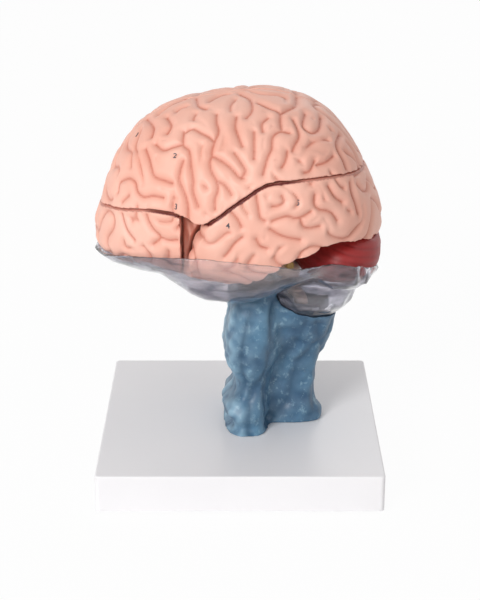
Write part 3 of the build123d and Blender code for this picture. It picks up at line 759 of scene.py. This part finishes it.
def island_patch(side):
    places, heights, out = island_heights(side)
    made = bmesh.new()
    sheets = []
    for lift in (heights, -ISLAND_SUNK * np.ones_like(heights)):
        sheets.append([[made.verts.new((x, y + out.y * rise, z)) for (x, y, z), rise in zip(row, rises)]
                       for row, rises in zip(places, lift)])
    front, rear = sheets
    for sheet in sheets:
        for i in range(ISLAND_COLUMNS):
            for j in range(ISLAND_ROWS):
                made.faces.new((sheet[i][j], sheet[i + 1][j], sheet[i + 1][j + 1], sheet[i][j + 1]))
    rim = [(i, 0) for i in range(ISLAND_COLUMNS)] + [(ISLAND_COLUMNS, j) for j in range(ISLAND_ROWS)]
    rim += [(i, ISLAND_ROWS) for i in range(ISLAND_COLUMNS, 0, -1)]
    rim += [(0, j) for j in range(ISLAND_ROWS, 0, -1)]
    for (a, b), (c, d) in zip(rim, rim[1:] + rim[:1]):
        made.faces.new((front[a][b], front[c][d], rear[c][d], rear[a][b]))
    bmesh.ops.recalc_face_normals(made, faces=made.faces)
    mesh = bpy.data.meshes.new(f"island_{side}")
    made.to_mesh(mesh)
    made.free()
    mesh.polygons.foreach_set("use_smooth", [True] * len(mesh.polygons))
    rises = np.concatenate([heights.ravel(), np.zeros(heights.size)])
    # The low parts of the cushion, deep by the wall, are painted darker: painted shade.
    low = 1.0 - np.clip(rises / ISLAND_HEIGHT / 0.8, 0.0, 1.0)
    write_layer(mesh, "groove_wash_and_shade", 0.4 * low)
    write_layer(mesh, "seam", 0.25 * low ** 2)
    write_layer(mesh, "cut", np.zeros(len(mesh.vertices)))
    mesh.materials.append(lobe_vinyl)
    piece = put(f"island_{side}", mesh)
    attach(piece, "stand")
    print(piece.name, len(mesh.vertices), "points, tallest", round(heights.max() / MM, 1), "mm")


for side in ("left", "right"):
    island_patch(side)

# %% [markdown]
# ## The cerebellum
# The cerebellum is dark red with fine level folds, like pages of a book. A wave in height, bent a little by
# a field of waves, gives them.

# %% Carve the cerebellum
CEREBELLUM_VOXEL = 1.0 * MM
PAGE_HEIGHT, PAGE_SLIT, PAGE_TILT = 4.2 * MM, 0.28, 0.30
PAGE_SWAY, PAGE_SWAY_WAVELENGTH = 1.2 * MM, 45.0 * MM


def carve_cerebellum(side):
    node = f"cerebellum_{side}"
    piece = even_copy(node, node + "_folds", CEREBELLUM_VOXEL)
    mesh = piece.data
    points, normals, edges = read_mesh(mesh)
    points = relax(points, edges, 3, 0.4)
    mating = contact(points, normals, edges, [f"temporooccipital_{side}", f"core_{side}"])[1]
    flattened = points * np.array([1, 0, 1]) + np.array([0, 0.5, 0])
    sway = wave_field(flattened, PAGE_SWAY_WAVELENGTH, 7)[0]
    level = (points[:, 2] + PAGE_TILT * (points[:, 0] - 0.06) + sway * PAGE_SWAY) / PAGE_HEIGHT
    page = np.abs(np.mod(level, 1.0) - 0.5) * 2
    slit = np.exp(-((1 - page) / PAGE_SLIT) ** 2)
    depth = (0.32 * slit + 0.12) * MM * (1 - mating)
    write_points(mesh, points - normals * depth[:, None])
    # The slits are painted darker red: painted shade.
    write_layer(mesh, "groove_wash_and_shade", slit * (1 - mating))
    mesh.materials.append(cerebellum_red)
    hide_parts(node)
    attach(piece, "stand")
    print(piece.name, len(mesh.vertices), "points")


for side in ("left", "right"):
    carve_cerebellum(side)

# %% [markdown]
# ## Easing the brainstem
# The brainstem shows only through the tray. A slow wave of a quarter of a millimetre takes the machined look
# off it.

# %% Ease the brainstem
STEM_VOXEL, STEM_WAVELENGTH = 0.8 * MM, 14.0 * MM

stem = even_copy("brainstem", "brainstem_cast", STEM_VOXEL)
stem_points, stem_normals, stem_edges = read_mesh(stem.data)
stem_depth = (0.25 + 0.2 * np.clip(wave_field(stem_points, STEM_WAVELENGTH, 3)[0], -1, 1)) * MM
write_points(stem.data, relax(stem_points, stem_edges, 4, 0.4) - stem_normals * stem_depth[:, None])
stem.data.materials.append(stem_cream)
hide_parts("brainstem")
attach(stem, "stand")
print(stem.name, len(stem.data.vertices), "points")

# %% [markdown]
# ## The sculpted post
# The post looks modelled by hand: soft upright folds and lumps, no flat faces. Three wave fields press
# shallow folds, lumps and dimples into an even copy. The foot, where it stands on the base, and the crown,
# where the tray sits, hardly move. The high spots take the lighter paint. The front, the side towards the key
# light, is painted lighter as painted light, and the folds are painted darker as painted shade.

# %% Carve the post
POST_VOXEL = 1.1 * MM
POST_FOOT = 25.5 * MM
POST_FOLD_WAVELENGTH, POST_FOLD_HALF, POST_STRETCH = 26.0 * MM, 6.5 * MM, 0.42
LUMP_WAVELENGTH, DIMPLE_WAVELENGTH = 13.0 * MM, 7.5 * MM
SEAT_FADE = 5 * MM

post = even_copy("post", "post_sculpted", POST_VOXEL)
post_points, post_normals, post_edges = read_mesh(post.data)
post_points = relax(post_points, post_edges, 3, 0.4)
squeezed = post_points * np.array([1.0, 1.0, POST_STRETCH])
fold_gap = line_distance(squeezed, post_normals, POST_FOLD_WAVELENGTH, 41)
fold = np.clip(1.0 - fold_gap / POST_FOLD_HALF, 0.0, 1.0) ** 1.7
lump = np.clip(wave_field(post_points, LUMP_WAVELENGTH, 43)[0], -1.6, 1.6)
dimple = np.clip(wave_field(post_points, DIMPLE_WAVELENGTH, 47)[0], -1.6, 1.6)
flat_top = np.clip((post_normals[:, 2] - 0.55) / 0.3, 0.0, 1.0)
flat_foot = np.clip((-post_normals[:, 2] - 0.7) / 0.2, 0.0, 1.0)
stands = np.clip((post_points[:, 2] - POST_FOOT) / (4.0 * MM), 0.0, 1.0)
seat = np.clip(nearest_gaps(post_points, node_tree("clear_tray"))[0] / SEAT_FADE, 0.1, 1.0)
post_depth = (1.1 * fold + 0.8 + 0.32 * lump + 0.22 * dimple) * MM
post_depth *= (1 - flat_top) * (0.25 + 0.75 * stands) * seat
post_depth = relax(post_depth * (1 - flat_foot), post_edges, 2)
write_points(post.data, post_points - post_normals * post_depth[:, None])
# The folds are painted darker: painted shade.
write_layer(post.data, "groove_wash_and_shade", fold * (1 - flat_top))
# The side towards the key light is painted lighter: painted light.
toward_key_light = np.clip(0.35 - post_points[:, 0] / (34.0 * MM), 0.0, 1.0)
crest_and_lit_side = np.clip(0.46 - 0.20 * lump - 0.16 * dimple, 0.0, 1.0) * (0.12 + 0.88 * toward_key_light)
write_layer(post.data, "crest_and_lit_side", crest_and_lit_side)
post.data.materials.append(post_blue)
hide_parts("post")
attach(post, "stand")
print(post.name, len(post.data.vertices), "points")

# %% [markdown]
# ## The clear tray
# The tray is drawn down over a form when hot, so its wall is never quite even. The outer skin of an even copy
# is pressed in by a slow wave of a few tenths of a millimetre, and the light bends in it as in the real one.
# Towards the back the photograph's rim stands higher, so the points near the rim are raised there.

# %% Shape the tray
TRAY_VOXEL = 0.95 * MM
RIM_RISE, RIM_BAND = 8.0 * MM, 9 * MM
RISE_START, RISE_LENGTH = 34 * MM, 44 * MM
RIPPLE_WAVELENGTH = 20.0 * MM
TRAY_MIDDLE = np.array([0.0, 0.0, 0.165])
HUG_FULL, HUG_FADE = 3.5 * MM, 4.0 * MM

tray = even_copy("clear_tray", "clear_tray_formed", TRAY_VOXEL)
tray_points, tray_normals, tray_edges = read_mesh(tray.data)
tray_points = relax(tray_points, tray_edges, 8, 0.5)
rim_x = np.arange(-0.09, 0.089, 0.006)
rim_z = [tray_points[np.abs(tray_points[:, 0] - x) < 4 * MM, 2].max() for x in rim_x]
below_rim = np.interp(tray_points[:, 0], rim_x, rim_z) - tray_points[:, 2]
far_back = np.clip((tray_points[:, 0] - RISE_START) / RISE_LENGTH, 0.0, 1.0)
near_rim = np.clip(1.0 - below_rim / RIM_BAND, 0.0, 1.0)
tray_points[:, 2] += RIM_RISE * far_back * near_rim
outward = ((tray_points - TRAY_MIDDLE) * tray_normals).sum(1) > 0
ripple = np.clip(wave_field(tray_points, RIPPLE_WAVELENGTH, 17)[0], -1.5, 1.5) * 0.5 + 0.75
by_post = np.clip(nearest_gaps(tray_points, node_tree("post"))[0] / SEAT_FADE, 0.0, 1.0)
tray_depth = relax(np.where(outward, ripple * 0.6, 0.0) * by_post * MM, tray_edges, 3)
write_points(tray.data, tray_points - tray_normals * tray_depth[:, None])
# Close to a lobe the tray is painted clearer and elsewhere greyer: painted shade.
lobe_gap, _ = nearest_gaps(tray_points, node_tree("temporooccipital_left", "temporooccipital_right"))
write_layer(tray.data, "hug", np.clip(1.0 - (lobe_gap - HUG_FULL) / HUG_FADE, 0.0, 1.0))
tray.data.materials.append(tray_clear)
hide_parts("clear_tray")
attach(tray, "stand")
print(tray.name, len(tray.data.vertices), "points")

# %% [markdown]
# ## Printed numerals
# Teaching models carry small plain numbers that match a key. Text makes them, turned into thin meshes. Each is
# laid on the carved surface where the photograph shows a mark, draped so that it follows the folds, and
# repeated at the mirrored place on the right.

# %% Numerals
NUMERAL_PLACES = [("1", 137, 135, "frontoparietal"), ("2", 175, 156, "frontoparietal"),
                  ("3", 176, 207, "frontoparietal"), ("4", 228, 226, "temporooccipital"),
                  ("5", 298, 203, "temporooccipital")]
NUMERAL_SIZE = 3.6 * MM * 1.35
INK_HALF, INK_SPREAD = 0.05 * MM, 0.07 * MM
INK_START, INK_LIFT = 0.12 * MM, 0.10 * MM


def surface_of(piece):
    """A search tree over a carved surface."""
    mesh = piece.data
    corners = [v.co.copy() for v in mesh.vertices]
    return BVHTree.FromPolygons(corners, [list(p.vertices) for p in mesh.polygons])


def numeral_mesh(text, name):
    """A numeral as a thin flat mesh."""
    curve = bpy.data.curves.new(name, "FONT")
    curve.body, curve.size, curve.align_x, curve.align_y = text, NUMERAL_SIZE, "CENTER", "CENTER"
    curve.extrude, curve.offset = INK_HALF, INK_SPREAD
    holder = put(name, curve)
    mesh = as_mesh(holder)
    bpy.data.objects.remove(holder)
    return mesh


def print_numeral(text, lobe, side, at, aim):
    """Lays a numeral where a ray from a point meets a carved lobe."""
    surface = surfaces[f"{lobe}_{side}"]
    spot, normal, _, _ = surface.ray_cast(at, aim)
    if spot is None:
        return
    up = (Vector((0, 0, 1)) - normal * normal.z).normalized()
    turn = Matrix((up.cross(normal), up, normal)).transposed().to_4x4()
    mesh = numeral_mesh(text, f"numeral_{text}_{side}")
    mesh.transform(Matrix.Translation(spot + normal * INK_START) @ turn)
    for v in mesh.vertices:
        near_spot, near_normal, _, _ = surface.find_nearest(v.co)
        v.co = near_spot + near_normal * (INK_LIFT + 0.5 * (v.co - spot).dot(normal))
    label = put(f"numeral_{text}_{side}", mesh)
    label.data.materials.clear()
    label.data.materials.append(numeral_ink)
    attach(label, {"frontoparietal": f"upper_{side}"}.get(lobe, "stand"))


surfaces = {name: surface_of(piece) for name, piece in carved.items() if not name.startswith("core")}
for text, px, py, lobe in NUMERAL_PLACES:
    way = pixel_ray(px, py)
    for side, flip in (("left", 1.0), ("right", -1.0)):
        at = Vector((CAMERA_PLACE.x, CAMERA_PLACE.y * flip, CAMERA_PLACE.z))
        aim = Vector((way.x, way.y * flip, way.z))
        print_numeral(text, lobe, side, at, aim)
print("numerals", 2 * len(NUMERAL_PLACES))

# %% [markdown]
# ## Ribs on the lifting pins
# The four upright pins that the upper lobes slide off have crush ribs, small rods along their length. What
# repeats round a circle is a job for Geometry Nodes: a circle of points, a rib on each, made real at the end.

# %% Pin ribs
RIB_COUNT, RIB_LENGTH, RIB_RADIUS, RIB_SIDES = 10, 5.5 * MM, 0.22 * MM, 6
PIN_RADIUS, RIB_BELOW_TOP = 2.5 * MM, 4.2 * MM


def rib_tree():
    """A circle of rods, with its sizes as named inputs."""
    tree = bpy.data.node_groups.new("pin_ribs", "GeometryNodeTree")
    tree.interface.new_socket("Geometry", in_out="INPUT", socket_type="NodeSocketGeometry")
    sizes = {}
    for name, kind, value in (("Rib Count", "NodeSocketInt", RIB_COUNT),
                              ("Pin Radius", "NodeSocketFloat", PIN_RADIUS),
                              ("Rib Radius", "NodeSocketFloat", RIB_RADIUS),
                              ("Rib Length", "NodeSocketFloat", RIB_LENGTH)):
        socket = tree.interface.new_socket(name, in_out="INPUT", socket_type=kind)
        socket.default_value = value
        sizes[name] = socket.identifier
    tree.interface.new_socket("Geometry", in_out="OUTPUT", socket_type="NodeSocketGeometry")
    make = tree.nodes.new
    given, result = make("NodeGroupInput"), make("NodeGroupOutput")
    ring = make("GeometryNodeMeshCircle")
    rib = make("GeometryNodeMeshCylinder")
    rib.inputs["Vertices"].default_value = RIB_SIDES
    place = make("GeometryNodeInstanceOnPoints")
    real = make("GeometryNodeRealizeInstances")
    dress = make("GeometryNodeSetMaterial")
    dress.inputs["Material"].default_value = pin_nylon
    link = tree.links.new
    link(given.outputs["Rib Count"], ring.inputs["Vertices"])
    link(given.outputs["Pin Radius"], ring.inputs["Radius"])
    link(given.outputs["Rib Radius"], rib.inputs["Radius"])
    link(given.outputs["Rib Length"], rib.inputs["Depth"])
    link(ring.outputs["Mesh"], place.inputs["Points"])
    link(rib.outputs["Mesh"], place.inputs["Instance"])
    link(place.outputs["Instances"], real.inputs["Geometry"])
    link(real.outputs["Geometry"], dress.inputs["Geometry"])
    link(dress.outputs["Geometry"], result.inputs["Geometry"])
    return tree, sizes


ribs, rib_sizes = rib_tree()
for side in ("left", "right"):
    pins = nodes[f"frontoparietal_pins_{side}"].data
    joined = bmesh.new()
    for at_back in (False, True):
        pin = [v.co for v in pins.vertices if (v.co.x > 0) == at_back]
        cx, cy = ((min(c[k] for c in pin) + max(c[k] for c in pin)) / 2 for k in (0, 1))
        top = max(c.z for c in pin)
        holder = put("rib_holder", bpy.data.meshes.new("rib_holder"))
        modifier = holder.modifiers.new("ribs", "NODES")
        modifier.node_group = ribs
        modifier[rib_sizes["Rib Count"]] = RIB_COUNT
        modifier[rib_sizes["Rib Length"]] = RIB_LENGTH
        mesh = as_mesh(holder)
        mesh.transform(Matrix.Translation((cx, cy, top - RIB_BELOW_TOP)))
        joined.from_mesh(mesh)
        bpy.data.objects.remove(holder)
    mesh = bpy.data.meshes.new(f"pin_ribs_{side}")
    joined.to_mesh(mesh)
    joined.free()
    piece = put(f"pin_ribs_{side}", mesh)
    mesh.materials.clear()
    mesh.materials.append(pin_nylon)
    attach(piece, "stand")
    print(piece.name, len(mesh.polygons), "faces")

# %% [markdown]
# ## Light
# The photograph is a white studio shot. The key light stands in front, to the left, so the base's front is
# brighter than its top and the back of the brain falls off in shade. A weak fill, a top light and a rim light
# from behind keep the other sides readable.

# %% Lights
def area_light(name, place, target, power, width, height):
    """A rectangular lamp that faces a target."""
    data = bpy.data.lights.new(name, "AREA")
    data.shape, data.size, data.size_y, data.energy = "RECTANGLE", width, height, power
    lamp = put(name, data)
    lamp.location = place
    lamp.rotation_euler = (Vector(target) - Vector(place)).to_track_quat("-Z", "Y").to_euler()


area_light("key", (-1.25, -1.75, 1.10), (0, 0, 0.13), 33.0, 0.9, 0.8)
area_light("fill", (1.3, -1.7, 0.75), (0, 0, 0.10), 3.0, 1.4, 1.0)
area_light("top", (-0.2, -0.3, 1.9), (0, 0, 0.1), 1.0, 1.6, 1.6)
area_light("rim", (0.6, 1.6, 1.0), (0, 0, 0.16), 3.0, 1.2, 0.8)

# %% [markdown]
# ## Floor and background
# The floor stays a real surface that takes a shadow, and the sky a soft light. Only camera, glossy and
# transmission rays see the two lifted to white, so metal and clear plastic show the same white as the picture.

# %% Floor and sky
SKY_LIGHT, SKY_COLOUR = 0.44, (1.0, 0.98, 0.98, 1.0)
WHITE = (1.0, 1.0, 1.0, 1.0)
FLOOR_HALF, FLOOR_COLOUR, FLOOR_LIFT = 6, (0.86, 0.86, 0.86, 1.0), 0.96


def white_for(tree):
    """1 for camera, glossy and transmission rays, 0 for the rays that light things."""
    path = tree.nodes.new("ShaderNodeLightPath")
    total = path.outputs["Is Camera Ray"]
    for name in ("Is Glossy Ray", "Is Transmission Ray"):
        add = tree.nodes.new("ShaderNodeMath")
        add.operation = "MAXIMUM"
        tree.links.new(total, add.inputs[0])
        tree.links.new(path.outputs[name], add.inputs[1])
        total = add.outputs[0]
    return total


world = bpy.data.worlds.new("studio")
world.use_nodes = True
bpy.context.scene.world = world
sky = world.node_tree
sky.nodes["Background"].inputs["Color"].default_value = SKY_COLOUR
sky.nodes["Background"].inputs["Strength"].default_value = SKY_LIGHT
plain = sky.nodes.new("ShaderNodeBackground")
plain.inputs["Color"].default_value = WHITE
blend_sky = sky.nodes.new("ShaderNodeMixShader")
sky.links.new(white_for(sky), blend_sky.inputs[0])
sky.links.new(sky.nodes["Background"].outputs[0], blend_sky.inputs[1])
sky.links.new(plain.outputs[0], blend_sky.inputs[2])
sky.links.new(blend_sky.outputs[0], sky.nodes["World Output"].inputs["Surface"])

floor_mesh = bpy.data.meshes.new("floor")
floor_corners = [(FLOOR_HALF * x, FLOOR_HALF * y, 0) for x, y in ((-1, -1), (1, -1), (1, 1), (-1, 1))]
floor_mesh.from_pydata(floor_corners, [], [(0, 1, 2, 3)])
floor = put("floor", floor_mesh)
floor_shop = Shop("floor_white")
floor_tree = floor_shop.tree
floor_shop.finish(Base_Color=FLOOR_COLOUR, Roughness=0.9, Specular_IOR_Level=0.1)
glow = floor_tree.nodes.new("ShaderNodeEmission")
glow.inputs["Color"].default_value = WHITE
glow.inputs["Strength"].default_value = 1.0
share = floor_tree.nodes.new("ShaderNodeMath")
share.operation = "MULTIPLY"
share.inputs[1].default_value = FLOOR_LIFT
floor_tree.links.new(white_for(floor_tree), share.inputs[0])
blend_floor = floor_tree.nodes.new("ShaderNodeMixShader")
floor_tree.links.new(share.outputs[0], blend_floor.inputs[0])
floor_tree.links.new(floor_shop.shader.outputs[0], blend_floor.inputs[1])
floor_tree.links.new(glow.outputs[0], blend_floor.inputs[2])
floor_tree.links.new(blend_floor.outputs[0], floor_shop.output.inputs["Surface"])
floor_mesh.materials.append(floor_shop.material)
bpy.context.scene.view_settings.view_transform = "Standard"
print("floor", 2 * FLOOR_HALF, "m across, view", bpy.context.scene.view_settings.view_transform)
